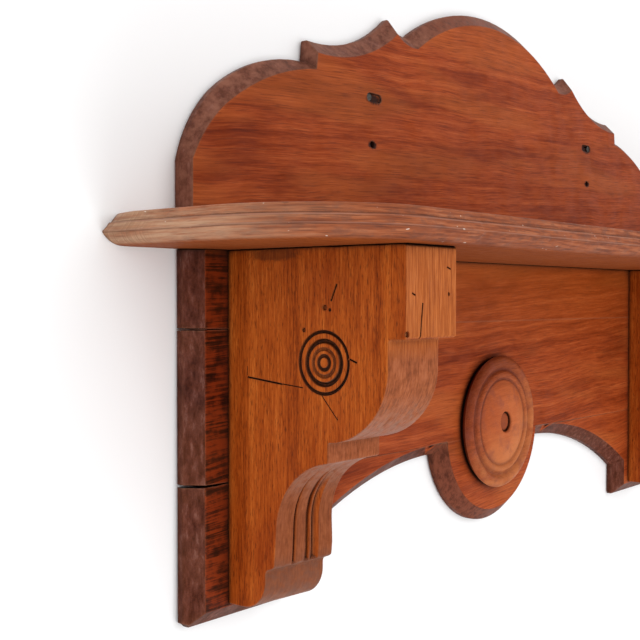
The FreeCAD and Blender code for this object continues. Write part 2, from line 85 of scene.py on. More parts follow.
# ---- wear, in millimetres ----
CORNER_ROUNDING = 2.4          # where the bracket's mouldings meet
ARRIS_WEAR = 1.1               # mean radius of the bracket's long edges
ARRIS_WEAR_SWING = 0.5
REED_DEPTH = 2.6
LAST_REED_DEPTH = 3.2
FOOT_SKEW = 4.4                # the foot's inner side stands this much further out
ROSETTE_SUNK = 0.18            # its whole face lies this far in
OUTER_GROOVE_RADIUS = 46.9
INNER_GROOVE_RADIUS = 38.2
OUTER_SOFTENING = 0.9          # how far in the arrises of the crest and the lowest plank are rounded
INNER_SOFTENING = 0.7
CRACK_LENGTH = 58.0
CRACK_JAG = 0.9
UPPER_CRACK_GAP = 0.5
LOWER_CRACK_GAP = 1.1


# ------------------------------------------------------------------ shapes

def arc_points(start, end, bulge, steps):
    """Points after `start` up to `end` along an arc whose middle stands `bulge` off the chord."""
    x0, y0 = start
    x1, y1 = end
    chord = math.hypot(x1 - x0, y1 - y0)
    radius = (chord ** 2 / 4 + bulge ** 2) / (2 * bulge)
    centre_x = (x0 + x1) / 2 + (y1 - y0) / chord * (radius - bulge)
    centre_y = (y0 + y1) / 2 - (x1 - x0) / chord * (radius - bulge)
    first = math.atan2(y0 - centre_y, x0 - centre_x)
    last = math.atan2(y1 - centre_y, x1 - centre_x)
    sweep = (last - first + math.pi) % (2 * math.pi) - math.pi
    reach = abs(radius)
    return [
        (
            centre_x + reach * math.cos(first + sweep * step / steps),
            centre_y + reach * math.sin(first + sweep * step / steps),
        )
        for step in range(1, steps + 1)
    ]


def rounded(path, radius, steps=4):
    """Path with each sharp corner replaced by a small curve."""
    smooth = [path[0]]
    for before, here, after in zip(path, path[1:], path[2:]):
        a = Vector(before) - Vector(here)
        b = Vector(after) - Vector(here)
        turn = math.pi - a.angle(b)
        if turn < math.radians(14):
            smooth.append(here)
            continue
        start = Vector(here) + a.normalized() * min(radius, a.length * 0.45)
        end = Vector(here) + b.normalized() * min(radius, b.length * 0.45)
        for step in range(steps + 1):
            share = step / steps
            point = start.lerp(Vector(here), share).lerp(Vector(here).lerp(end, share), share)
            smooth.append((point.x, point.y))
    smooth.append(path[-1])
    return smooth


def subdivided(path, longest):
    """Path with extra points, so that no stretch is longer than `longest`."""
    fine = [path[0]]
    for before, here in zip(path, path[1:]):
        length = math.hypot(here[0] - before[0], here[1] - before[1])
        pieces = max(1, math.ceil(length / longest))
        for step in range(1, pieces + 1):
            share = step / pieces
            fine.append((
                before[0] + (here[0] - before[0]) * share,
                before[1] + (here[1] - before[1]) * share,
            ))
    return fine


def outward_normals(path):
    """Unit normals on the left of the way the path runs."""
    normals = []
    for number in range(len(path)):
        before = Vector(path[max(0, number - 1)])
        after = Vector(path[min(len(path) - 1, number + 1)])
        along = (after - before).normalized()
        normals.append(Vector((-along.y, along.x)))
    return normals


def new_object(name, vertices, faces, crease_angle=35):
    mesh = bpy.data.meshes.new(name)
    mesh.from_pydata([Vector(v) * MM for v in vertices], [], faces)
    mesh.validate()
    piece = bpy.data.objects.new(name, mesh)
    bpy.context.scene.collection.objects.link(piece)
    finish_mesh(piece, crease_angle)
    return piece


def finish_mesh(piece, crease_angle=35):
    """Outward normals, and smooth shading except across sharp edges."""
    work = bmesh.new()
    work.from_mesh(piece.data)
    bmesh.ops.recalc_face_normals(work, faces=work.faces)
    work.to_mesh(piece.data)
    work.free()
    piece.data.shade_smooth()
    piece.data.set_sharp_from_angle(angle=math.radians(crease_angle))


def applied(piece, crease_angle=35):
    """Turns the piece's modifiers into its mesh."""
    graph = bpy.context.evaluated_depsgraph_get()
    mesh = bpy.data.meshes.new_from_object(piece.evaluated_get(graph))
    piece.modifiers.clear()
    piece.data = mesh
    finish_mesh(piece, crease_angle)


def triangulated(piece):
    """Splits every face with more than four corners into triangles."""
    work = bmesh.new()
    work.from_mesh(piece.data)
    bmesh.ops.dissolve_degenerate(work, dist=0.000002, edges=work.edges)
    big = [face for face in work.faces if len(face.verts) > 4]
    bmesh.ops.triangulate(work, faces=big)
    work.to_mesh(piece.data)
    work.free()


def joined(pieces):
    """Puts the meshes of several pieces into the first one."""
    work = bmesh.new()
    for piece in pieces:
        work.from_mesh(piece.data)
    work.to_mesh(pieces[0].data)
    work.free()
    for piece in pieces[1:]:
        bpy.data.objects.remove(piece)
    return pieces[0]


def block(x_low, x_high, y_low, y_high, z_low, z_high):
    """Box between the given planes."""
    vertices = [(x, y, z) for x in (x_low, x_high) for y in (y_low, y_high) for z in (z_low, z_high)]
    faces = [(0, 1, 3, 2), (4, 6, 7, 5), (0, 4, 5, 1), (2, 3, 7, 6), (0, 2, 6, 4), (1, 5, 7, 3)]
    return new_object("block", vertices, faces)


def carve(piece, cutters):
    """Cuts several separate cutters out of a piece in one go."""
    cutter = joined(cutters)
    cut = piece.modifiers.new("cut", "BOOLEAN")
    cut.operation = "DIFFERENCE"
    cut.solver = "MANIFOLD"
    cut.object = cutter
    applied(piece)
    bpy.data.objects.remove(cutter)
    triangulated(piece)


def lathe(name, profile, segments=160):
    """Solid turned about its own Z axis from (radius, height) points that start and end at 0."""
    vertices = [(0, 0, profile[0][1])]
    faces = []
    rings = profile[1:-1]
    for radius, height in rings:
        for step in range(segments):
            angle = 2 * math.pi * step / segments
            vertices.append((radius * math.cos(angle), radius * math.sin(angle), height))
    vertices.append((0, 0, profile[-1][1]))
    last = len(vertices) - 1
    for step in range(segments):
        following = (step + 1) % segments
        faces.append((0, 1 + following, 1 + step))
        for ring in range(len(rings) - 1):
            base = 1 + ring * segments
            faces.append((
                base + step, base + following,
                base + segments + following, base + segments + step,
            ))
        base = 1 + (len(rings) - 1) * segments
        faces.append((base + step, base + following, last))
    return new_object(name, vertices, faces)


# ------------------------------------------------------------------ brackets

def bracket_path():
    """Side outline (depth from the board's face, height), front side only."""
    ovolo = (OVOLO_DEPTH, OVOLO_TOP_Z)
    fillet = (FILLET_DEPTH, FILLET_BOTTOM_Z)
    foot = (FOOT_DEPTH, FOOT_BEND_Z)
    path = [(0, 0), (BLOCK_DEPTH, 0), (BLOCK_DEPTH, BLOCK_BOTTOM_Z), (OVOLO_DEPTH, BLOCK_BOTTOM_Z), ovolo]
    path += arc_points(ovolo, (FILLET_DEPTH, OVOLO_BOTTOM_Z), OVOLO_BULGE, 18)
    path += [fillet]
    path += arc_points(fillet, (COVE_BEND_DEPTH, COVE_BEND_Z), COVE_BULGE, 22)
    path += [(LIP_DEPTH, LIP_Z), (FOOT_DEPTH, FOOT_TOP_Z), foot]
    path += arc_points(foot, (FOOT_BOTTOM_DEPTH, BRACKET_BOTTOM_Z), FOOT_BULGE, 12)
    path += [(0, BRACKET_BOTTOM_Z)]
    return subdivided(rounded(path, CORNER_ROUNDING, 6), 2.2)


def bead(share, start, end, sunk):
    """Depth of a rounded bead whose edges lie `sunk` below its crown."""
    across = 2 * (share - start) / (end - start) - 1
    return sunk * (1 - math.sqrt(max(0.0, 1 - across * across)))


def reed_depth(share):
    """How deep the cove's face lies at a share of the bracket's thickness."""
    start, wide_bead, flat, thin_bead, groove, end = 0.30, 0.345, 0.545, 0.58, 0.64, 0.745
    if share < start or share > end:
        return 0.0
    if share < wide_bead:
        return REED_DEPTH * math.sin(math.pi * (share - start) / (wide_bead - start) * 0.5)
    if share < flat:
        return bead(share, wide_bead, flat, REED_DEPTH)
    if share < thin_bead:
        return REED_DEPTH
    if share < groove:
        return 0.5 + bead(share, thin_bead, groove, REED_DEPTH - 0.5)
    along = (share - groove) / (end - groove)
    return LAST_REED_DEPTH * math.sin(math.pi * min(1.0, along) ** 0.8)


def arris(distance, radius):
    """How far a rounded edge has dropped at a distance from the side."""
    if distance >= radius:
        return 0.0
    return radius - math.sqrt(radius ** 2 - (radius - distance) ** 2)


def bracket_columns():
    """Distances across the bracket: close together at the edges and over the reeds."""
    edge = [0, 0.15, 0.45, 0.9, 1.5, 2.4]
    first_reed = 15.5
    reeds = [first_reed + 0.45 * step for step in range(58)]
    plain = [6, 10, 14, 44.5, 48]
    far = [BRACKET_THICKNESS - distance for distance in edge]
    return sorted(set(edge + reeds + plain + far))


def bracket_body(name):
    """Left bracket with rounded arrises and a reeded cove."""
    path = bracket_path()
    normals = outward_normals(path)
    columns = bracket_columns()
    vertices = []
    faces = []
    for (depth, z), normal in zip(path, normals):
        in_cove = LIP_Z - 0.5 < z < FILLET_BOTTOM_Z - 2 and depth >= LIP_DEPTH - 0.8
        fade = min(1.0, max(0.0, (FILLET_BOTTOM_Z - 5 - z) / 24)) if in_cove else 0.0
        for distance in columns:
            from_side = min(distance, BRACKET_THICKNESS - distance)
            wear = ARRIS_WEAR + ARRIS_WEAR_SWING * noise.noise(Vector((distance, depth, z)) * 0.06)
            sunk = arris(from_side, wear) + fade * reed_depth(distance / BRACKET_THICKNESS)
            grain = 0.12 * noise.noise(Vector((distance * 0.5, z * 0.03, depth * 0.03)))
            if depth < 0.5:
                sunk = min(sunk, 0.3)
            sunk = max(0.0, sunk + grain * (depth > 0.5) * (z < -1))
            low = min(1.0, max(0.0, (-150 - z) / 45)) * min(1.0, depth / 12)
            skew = FOOT_SKEW * low * distance / BRACKET_THICKNESS
            vertices.append((
                distance - BRACKET_OUTER_X,
                -BOARD_THICKNESS - max(0.0, depth + skew + normal.x * -sunk),
                min(0.0, z + normal.y * -sunk),
            ))
    across = len(columns)
    rows = len(path)
    for row in range(rows):
        following = (row + 1) % rows
        for column in range(across - 1):
            faces.append((
                row * across + column, row * across + column + 1,
                following * across + column + 1, following * across + column,
            ))
    faces.append([row * across for row in range(rows)])
    faces.append([row * across + across - 1 for row in range(rows)])
    return new_object(name, vertices, faces)


def rosette_depth(share):
    """Depth of the rosette's rings at a share of its radius."""
    grooves = ((0.215, 0.062, 1.5), (0.42, 0.06, 1.0), (0.665, 0.078, 2.1), (0.945, 0.055, 1.5))
    depth = ROSETTE_SUNK
    for middle, half_width, sunk in grooves:
        off = abs(share - middle) / half_width
        if off < 1:
            depth = max(depth, ROSETTE_SUNK + sunk * (1 - off ** 2.4))
    return depth


def rosette_cutter():
    """Turned cutter that sinks the rings of the rosette into the left bracket's outer side."""
    steps = 120
    profile = [(0, 4), (ROSETTE_RADIUS, 4)]
    for step in range(steps, -1, -1):
        share = step / steps
        profile.append((ROSETTE_RADIUS * share, -rosette_depth(share)))
    cutter = lathe("rosette_cutter", profile)
    turn = Matrix.Rotation(math.radians(-90), 4, "Y")
    place = Vector((-BRACKET_OUTER_X, -BOARD_THICKNESS - ROSETTE_DEPTH, ROSETTE_Z)) * MM
    cutter.data.transform(Matrix.Translation(place) @ turn)
    return cutter


def v_cut(start, end, inward, width=0.7, depth=0.7):
    """Wedge that cuts a thin V from start to end into a face; `inward` points into the wood."""
    start = Vector(start)
    end = Vector(end)
    inward = Vector(inward)
    side = (end - start).cross(inward).normalized() * width
    vertices = []
    for place in (start, end):
        vertices += [place + side - inward, place - side - inward, place + inward * depth]
    faces = [(0, 1, 2), (3, 5, 4), (0, 3, 4, 1), (1, 4, 5, 2), (2, 5, 3, 0)]
    return new_object("v_cut", vertices, faces)


def on_side(depth, z):
    """Point on the left bracket's outer side."""
    return (-BRACKET_OUTER_X, -BOARD_THICKNESS - depth, z)


def pit(place, radius, depth, axis):
    """Small round pit cutter whose mouth is at `place`."""
    cutter = lathe("pit", [(0, 2), (radius, 2), (radius, 0), (radius * 0.6, -depth), (0, -depth)], 20)
    turn = Vector((0, 0, 1)).rotation_difference(Vector(axis)).to_matrix().to_4x4()
    cutter.data.transform(Matrix.Translation(Vector(place) * MM) @ turn)
    return cutter


def bracket_marks():
    """Knife lines and pits on the left bracket's side, and checks and nicks in its block."""
    into_side = (1, 0, 0)
    into_front = (0, 1, 0)
    front_y = -BOARD_THICKNESS - BLOCK_DEPTH
    out_of_side = (-1, 0, 0)
    out_of_front = (0, -1, 0)
    return [
        v_cut(on_side(17.6, -83.0), on_side(48.0, -86.3), into_side, 1.1, 1.2),
        v_cut(on_side(47.0, -86.0), on_side(64.5, -87.6), into_side, 0.7, 0.8),
        v_cut(on_side(91.3, -23.3), on_side(86.9, -33.6), into_side, 1.2, 1.2),
        v_cut(on_side(100.6, -68.4), on_side(106.8, -70.6), into_side, 1.1, 1.2),
        v_cut(on_side(79.4, -91.4), on_side(92.1, -105.9), into_side, 0.7, 0.8),
        v_cut(on_side(17.1, -75.8), on_side(17.1, -81.7), into_side, 0.5, 0.7),
        pit(on_side(65.3, -51.6), 1.5, 1.0, out_of_side),
        pit(on_side(81.8, -37.6), 2.0, 1.2, out_of_side),
        pit(on_side(86.0, -39.0), 1.1, 0.9, out_of_side),
        v_cut((-325.4, front_y, -34.8), (-328.1, front_y, -57.0), into_front, 1.0, 1.6),
        v_cut((-336.5, front_y, -29.0), (-333.0, front_y, -30.2), into_front, 1.2, 0.9),
        v_cut((-299.5, front_y, -13.0), (-295.5, front_y, -14.2), into_front, 1.1, 0.9),
        pit((-297.3, front_y, -29.4), 1.2, 0.8, out_of_front),
        pit((-341.0, front_y, -53.0), 2.0, 1.4, out_of_front),
    ]


def brackets():
    """The marked left bracket, and the right one as its clean mirror image."""
    left = bracket_body("left_bracket_wood")
    right = left.copy()
    right.data = left.data.copy()
    right.name = "right_bracket_wood"
    bpy.context.scene.collection.objects.link(right)
    carve(left, [rosette_cutter()] + bracket_marks())
    carve(right, [rosette_cutter()])
    right.data.transform(Matrix.Scale(-1, 4, Vector((1, 0, 0))))
    finish_mesh(right)
    return left, right


# ------------------------------------------------------------------ shelf

def shelf_edge_profile():
    """Edge section as (distance in from the nose, height), from the underside up to the top."""
    profile = [(26, 0.0), (17.5, 0.0), (16, 0.15)]
    profile += arc_points((16, 0.15), (0.6, 7.2), 2.0, 12)
    profile += [(0.15, 7.7), (0.1, 8.2), (0.3, 8.8), (1.3, 11.2), (1.9, 13.2), (2.0, 13.7)]
    profile += [(2.3, 13.95), (3.2, 14.0), (3.45, 14.2), (3.6, 14.7), (4.3, 17.4), (4.8, 19.0)]
    profile += [(5.2, 19.6), (5.9, 19.93), (7.5, 20.0), (18, 20.0)]
    return profile


def shelf_outline():
    """Points round the front of the nose with their outward directions, left end to right end."""
    front = SHELF_NOSE_DEPTH - SHELF_CORNER_RADIUS
    straight = SHELF_HALF_WIDTH - SHELF_CORNER_RADIUS
    spots = []
    side_steps = 30
    for step in range(side_steps):
        spots.append((-SHELF_HALF_WIDTH, front * step / side_steps, -1.0, 0.0))
    corner_steps = 72
    for step in range(corner_steps + 1):
        angle = math.pi - math.pi / 2 * step / corner_steps
        out_x = math.cos(angle)
        out_y = math.sin(angle)
        spots.append((
            -straight + SHELF_CORNER_RADIUS * out_x,
            front + SHELF_CORNER_RADIUS * out_y,
            out_x,
            out_y,
        ))
    front_steps = 330
    for step in range(1, front_steps):
        spots.append((-straight + 2 * straight * step / front_steps, SHELF_NOSE_DEPTH, 0.0, 1.0))
    for x, depth, out_x, out_y in reversed(spots[:side_steps + corner_steps + 1]):
        spots.append((-x, depth, -out_x, out_y))
    return spots


def shelf():
    """Shelf board whose moulded edge is worn and nibbled."""
    spots = shelf_outline()
    profile = shelf_edge_profile()
    vertices = []
    faces = []
    for x, depth, out_x, out_y in spots:
        at_back = min(1.0, depth / 6)
        worn_corner = 7.0 * max(0.0, 1 - depth / 26) ** 1.5
        for inset, z in profile:
            place = Vector((x * 0.05, depth * 0.05, z * 0.25))
            wear = 0.3 * noise.noise(place) + 0.12 * noise.noise(place * 3.1)
            nick = max(0.0, noise.noise(Vector((x * 0.13, depth * 0.13, z * 0.12 + 7))) - 0.40) * 3.0
            edge = 1.0 if inset < 15 else 0.0
            corner = worn_corner * max(0.0, (z - 9) / 11)
            moved = inset + edge * (max(0.0, wear + 0.15) + corner + nick * (1.5 < z < 19.2))
            vertices.append((x - out_x * moved, -max(0.0, depth - out_y * moved * at_back), z))
    high = len(profile)
    for number in range(len(spots) - 1):
        for level in range(high - 1):
            base = number * high + level
            faces.append((base, base + high, base + high + 1, base + 1))
    faces.append([number * high for number in range(len(spots))])
    faces.append([number * high + high - 1 for number in range(len(spots))])
    last = (len(spots) - 1) * high
    faces.append([level for level in range(high)] + [last + level for level in reversed(range(high))])
    piece = new_object("shelf_wood", vertices, faces)
    housing = block(
        -CREST_HALF_WIDTH, CREST_HALF_WIDTH, -BOARD_THICKNESS, 2, CREST_FOOT_Z, SHELF_THICKNESS + 2,
    )
    carve(piece, [housing])
    return piece


# ------------------------------------------------------------------ boss

def boss_profile():
    """Half section (radius, height): undercut edge, rounded rim, bead between two grooves, domed face."""
    edge = (BOSS_RADIUS - 0.1, 5.6)
    profile = [(0, 0), (BOSS_RADIUS - 3.8, 0), (BOSS_RADIUS - 2.4, 2.0), (BOSS_RADIUS - 0.7, 4.4), edge]
    profile += arc_points(edge, (49.0, 7.9), -2.9, 22)
    profile += [(48.0, 7.2), (47.0, 6.9), (46.1, 7.1), (45.2, 7.9)]
    profile += arc_points((45.2, 7.9), (39.8, 8.9), -1.25, 14)
    profile += [(39.0, 8.3), (38.1, 8.1), (37.2, 8.5)]
    profile += arc_points((37.2, 8.5), (PLUG_RADIUS + 3.0, 12.4), -1.5, 20)
    profile += arc_points((PLUG_RADIUS + 3.0, 12.4), (PLUG_RADIUS, 11.0), -0.7, 8)
    profile += [(PLUG_RADIUS, PLUG_SEAT), (0, PLUG_SEAT)]
    return profile


def plug_profile():
    side = PLUG_RADIUS - PLUG_PLAY
    return [
        (0, PLUG_SEAT), (side, PLUG_SEAT), (side, PLUG_TOP - 1.1),
        (PLUG_RADIUS - 1.0, PLUG_TOP - 0.5), (PLUG_RADIUS - 3.0, PLUG_TOP - 0.1), (0, PLUG_TOP),
    ]


def on_boss(piece):
    """Stands a turned piece out from the board's face at the boss's middle."""
    turn = Matrix.Rotation(math.radians(90), 4, "X")
    place = Vector((0, -BOARD_THICKNESS, BOSS_Z)) * MM
    piece.data.transform(Matrix.Translation(place) @ turn)
    return piece


# ------------------------------------------------------------------ back board

def crack_cutter(z, gap):
    """Ragged wedge that opens a joint at the left end, widest at the end of the board."""
    end_x = -378.0
    steps = 26
    vertices = []
    faces = []
    for step in range(steps + 1):
        share = step / steps
        x = end_x + CRACK_LENGTH * share
        opening = gap * (1 - share ** 1.5) + 0.02
        swing = CRACK_JAG * noise.noise(Vector((x * 0.11, z, 3.0))) * (1 - 0.4 * share)
        for y in (2.0, -BOARD_THICKNESS - 2.0):
            lean = 0.8 * noise.noise(Vector((x * 0.1, y, z)))
            vertices.append((x, y, z + swing + lean * (1 - share)))
            vertices.append((x, y, z + swing + lean * (1 - share) + opening))
    for step in range(steps):
        base = step * 4
        faces += [
            (base, base + 4, base + 5, base + 1),
            (base + 2, base + 3, base + 7, base + 6),
            (base, base + 2, base + 6, base + 4),
            (base + 1, base + 5, base + 7, base + 3),
        ]
    last = steps * 4
    faces += [(0, 1, 3, 2), (last, last + 2, last + 3, last + 1)]
    return new_object("crack", vertices, faces)


def softened(node, name, width):
    """Copy of a CAD node with its arrises rounded."""
    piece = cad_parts[node].copy()
    piece.data = piece.data.copy()
    piece.name = name
    for key in list(piece.keys()):
        del piece[key]
    bpy.context.scene.collection.objects.link(piece)
    work = bmesh.new()
    work.from_mesh(piece.data)
    bmesh.ops.remove_doubles(work, verts=work.verts, dist=0.00002)
    bmesh.ops.dissolve_limit(
        work, angle_limit=math.radians(0.4), verts=work.verts, edges=work.edges,
    )
    work.to_mesh(piece.data)
    work.free()
    arrises = piece.data.attributes.new("bevel_weight_edge", "FLOAT", "EDGE")
    work = bmesh.new()
    work.from_mesh(piece.data)
    for edge in work.edges:
        heights = [corner.co.z / MM for corner in edge.verts]
        in_joint = any(
            max(abs(height - joint) for height in heights) < 0.5
            for joint in (UPPER_JOINT_Z, LOWER_JOINT_Z)
        )
        sharp = edge.is_manifold and edge.calc_face_angle() > math.radians(28)
        arrises.data[edge.index].value = float(sharp and not in_joint)
    work.free()
    bevel = piece.modifiers.new("arris", "BEVEL")
    bevel.width = width * MM
    bevel.segments = 3
    bevel.limit_method = "WEIGHT"
    bevel.use_clamp_overlap = False
    applied(piece)
    return piece


def ragged_joint(above, below, z, gap):
    """Opens the left end of the joint between two planks along a ragged line."""
    for piece in (above, below):
        carve(piece, [crack_cutter(z, gap)])


def chipped_corner(piece):
    """Breaks off the lower left corner of the bottom plank."""
    points = [(-380, -240.5), (-371.5, -243.2), (-369.5, -245.2), (-366.0, -250), (-380, -250)]
    vertices = [(x, 2, z) for x, z in points] + [(x + 0.8, -20, z - 0.6) for x, z in points]
    count = len(points)
    faces = [list(range(count)), list(range(2 * count - 1, count - 1, -1))]
    for corner in range(count):
        following = (corner + 1) % count
        faces.append((corner, following, count + following, count + corner))
    carve(piece, [new_object("chip", vertices, faces)])


# ------------------------------------------------------------------ materials

class Shader:
    """Builds one material's nodes, with short names for the kinds used here."""

    def __init__(self, name):
        self.material = bpy.data.materials.new(name)
        self.material.use_nodes = True
        self.tree = self.material.node_tree
        self.principled = self.tree.nodes["Principled BSDF"]
        self.coordinates = self.node("TexCoord", {})

    def link(self, source, node, socket):
        if isinstance(source, bpy.types.NodeSocket):
            self.tree.links.new(source, node.inputs[socket])
        else:
            node.inputs[socket].default_value = source

    def node(self, kind, inputs, **settings):
        """Outputs of a new node whose inputs are values or other nodes' outputs."""
        node = self.tree.nodes.new("ShaderNode" + kind)
        for name, value in settings.items():
            setattr(node, name, value)
        for socket, source in inputs.items():
            self.link(source, node, socket)
        return node.outputs

    def place(self):
        """Object coordinates in millimetres."""
        return self.scaled(self.coordinates["Object"], (1 / MM,) * 3)

    def scaled(self, place, factors):
        return self.node("VectorMath", {0: place, 1: factors}, operation="MULTIPLY")[0]

    def parts(self, vector):
        return self.node("SeparateXYZ", {0: vector})

    def normal(self):
        return self.parts(self.coordinates["Normal"])

    def math(self, operation, first, second=0.0):
        return self.node("Math", {0: first, 1: second}, operation=operation)[0]

    def product(self, first, *others):
        for other in others:
            first = self.math("MULTIPLY", first, other)
        return first

    def total(self, first, *others):
        for other in others:
            first = self.math("ADD", first, other)
        return first

    def less(self, first, second):
        return self.math("SUBTRACT", first, second)

    def rest(self, share):
        return self.less(1.0, share)

    def size(self, value):
        return self.math("ABSOLUTE", value)

    def length(self, first, second):
        return self.math("SQRT", self.total(self.product(first, first), self.product(second, second)))

    def noise(self, place, scale, detail, rough, distortion=0.0):
        inputs = {"Vector": place, "Scale": scale, "Detail": detail, "Roughness": rough}
        return self.node("TexNoise", {**inputs, "Distortion": distortion})["Fac"]

    def bands(self, distance, scale):
        """Uneven stripes that follow one value."""
        inputs = {"W": distance, "Scale": scale, "Detail": 1.5, "Roughness": 0.6}
        return self.node("TexNoise", inputs, noise_dimensions="1D")["Fac"]

    def range(self, value, low, high, to_low=0.0, to_high=1.0, smooth=False):
        """Share of the way from low to high, held within the two ends."""
        inputs = {"Value": value, "From Min": low, "From Max": high, "To Min": to_low, "To Max": to_high}
        shape = "SMOOTHSTEP" if smooth else "LINEAR"
        return self.node("MapRange", inputs, interpolation_type=shape)[0]

    def ramp(self, value, stops):
        node = self.tree.nodes.new("ShaderNodeValToRGB")
        self.link(value, node, "Fac")
        elements = node.color_ramp.elements
        while len(elements) < len(stops):
            elements.new(0.5)
        for element, (position, colour) in zip(elements, stops):
            element.position = position
            element.color = (*colour, 1)
        return node.outputs["Color"]

    def mix(self, share, first, second, blend="MIX"):
        """Colour between the first and the second, which may be plain tones."""
        inputs = {0: share}
        for socket, colour in ((6, first), (7, second)):
            inputs[socket] = colour if isinstance(colour, bpy.types.NodeSocket) else (*colour, 1)
        return self.node("Mix", inputs, data_type="RGBA", blend_type=blend)[2]

    def crevice(self, distance):
        """1 in the open, falling towards 0 deep in a corner."""
        return self.node("AmbientOcclusion", {"Distance": distance * MM}, samples=6)["AO"]

    def worn_edge(self, radius):
        """0 on flat faces, rising on arrises."""
        rounded_normal = self.node("Bevel", {"Radius": radius * MM}, samples=4)[0]
        normal = self.node("NewGeometry", {})["Normal"]
        likeness = self.node("VectorMath", {0: rounded_normal, 1: normal}, operation="DOT_PRODUCT")
        return self.range(likeness["Value"], 0.995, 0.90)

    def bump(self, height, strength, distance):
        inputs = {"Strength": strength, "Distance": distance * MM, "Height": height}
        self.link(self.node("Bump", inputs)[0], self.principled, "Normal")


SEAM_WIDTH = 3.0
GRAIN_STRETCH = {
    "X": (0.035, 1.0, 1.0),
    "Z": (1.0, 1.0, 0.05),
}
GRAIN_SLOPE = {
    "X": 0.055,
    "Z": 0.0,
}
PATCH_STRETCH = {
    "X": (0.25, 1.0, 1.0),
    "Z": (1.0, 1.0, 0.35),
}


def tilted(shader, place, slope):
    """Coordinates whose level lines climb with X at `slope` and waver a little."""
    x, y, z = shader.parts(place)
    waver = shader.product(shader.noise(place, 0.007, 2.0, 0.5), 14.0)
    level = shader.total(shader.less(z, shader.product(x, slope)), waver)
    return shader.node("CombineXYZ", {0: x, 1: y, 2: level})[0]


def wood_base(shader, grain, ring_centre, ring_spacing, tones, patch_tone, patch_share):
    """Growth rings, fibres and tonal patches, by name, with the coordinates that follow the grain."""
    leaning = tilted(shader, shader.place(), GRAIN_SLOPE[grain])
    along = shader.scaled(leaning, GRAIN_STRETCH[grain])
    x, y, z = shader.parts(leaning)
    side = z if grain == "X" else x
    swing = shader.product(shader.noise(along, 0.035, 2.0, 0.5), 16.0)
    off_side = shader.total(shader.less(side, ring_centre[0]), swing)
    off_depth = shader.less(y, ring_centre[1])
    rings = shader.bands(shader.length(off_side, off_depth), 1.0 / ring_spacing)
    fibres = shader.noise(along, 0.9, 4.0, 0.65)
    fine = shader.noise(along, 3.2, 3.0, 0.6)
    blend = shader.total(
        shader.product(rings, 0.26), shader.product(fibres, 0.50), shader.product(fine, 0.28),
    )
    colour = shader.ramp(blend, tones)
    patches = shader.noise(shader.scaled(leaning, PATCH_STRETCH[grain]), 0.022, 4.0, 0.6, 0.4)
    share = shader.range(patches, 0.46, 0.68, 0.0, patch_share, True)
    colour = shader.mix(share, colour, patch_tone, "MULTIPLY")
    return {"colour": colour, "fibres": fibres, "fine": fine, "along": along}


def flecked(shader, colour, along, amount, scale, dark):
    """Short dark pores along the grain."""
    pores = shader.noise(along, scale, 2.0, 0.5)
    return shader.mix(shader.range(pores, 0.57, 0.66, 0.0, amount), colour, dark)


def shaded_and_grimed(shader, colour, distance, dark, depth=0.85):
    """Painted shade with grime: darker in grooves and corners, with a painted shadow almost black right
    in a seam, but not on the back.
    """
    not_back = shader.range(shader.normal()["Y"], 0.9, 0.6)
    # painted shade and grime: the occlusion mask darkens grooves and corners
    mask = shader.range(shader.crevice(distance), 0.80, 0.25, 0.0, depth)
    colour = shader.mix(shader.product(mask, not_back), colour, dark)
    # painted shadow, near black, where two surfaces meet
    seam = shader.range(shader.crevice(SEAM_WIDTH), 0.86, 0.50, 0.0, 0.94)
    return shader.mix(shader.product(seam, not_back), colour, (0.006, 0.003, 0.002))


def spot(shader, first, second, middle, half_size, amount):
    """Soft elliptical spot in the plane of two coordinates, with a ragged rim."""
    ragged = shader.product(shader.noise(shader.place(), 0.45, 3.0, 0.6), 0.9)
    across = shader.math("DIVIDE", shader.less(first, middle[0]), half_size[0])
    upward = shader.math("DIVIDE", shader.less(second, middle[1]), half_size[1])
    reach = shader.total(shader.length(across, upward), ragged)
    return shader.range(reach, 1.5, 1.0, 0.0, amount, True)


def varnish(shader, colour, fibres, scuffs, rough_low, rough_high, bump):
    """Thin dull finish over the grain."""
    shader.link(colour, shader.principled, "Base Color")
    roughness = shader.range(scuffs, 0.35, 0.7, rough_low, rough_high)
    shader.link(roughness, shader.principled, "Roughness")
    shader.principled.inputs["Specular IOR Level"].default_value = 0.06
    height = shader.total(shader.product(fibres, 0.6), shader.product(scuffs, 0.5))
    shader.bump(height, bump, 0.5)


def board_face(shader):
    """The board's plain face: rings, golden stretches, thin growth lines and pores."""
    tones = (
        (0.34, (0.150, 0.020, 0.0030)),
        (0.46, (0.270, 0.042, 0.0080)),
        (0.57, (0.370, 0.068, 0.0150)),
        (0.70, (0.500, 0.120, 0.032)),
    )
    wood = wood_base(shader, "X", (-190.0, 120.0), 5.5, tones, (0.58, 0.46, 0.38), 0.9)
    drawn_out = shader.scaled(shader.place(), (0.16, 1.0, 1.0))
    golden = shader.range(shader.noise(drawn_out, 0.026, 3.0, 0.5), 0.48, 0.62, 0.0, 0.35, True)
    colour = shader.mix(golden, wood["colour"], (0.440, 0.115, 0.026))
    growth = shader.noise(shader.scaled(wood["along"], (0.3, 1.0, 1.0)), 0.55, 2.0, 0.5)
    line = shader.range(shader.size(shader.less(growth, 0.5)), 0.030, 0.0, 0.0, 0.45)
    colour = shader.mix(line, colour, (0.150, 0.024, 0.006))
    colour = flecked(shader, colour, wood["along"], 0.45, 1.6, (0.085, 0.016, 0.007))
    return colour, wood


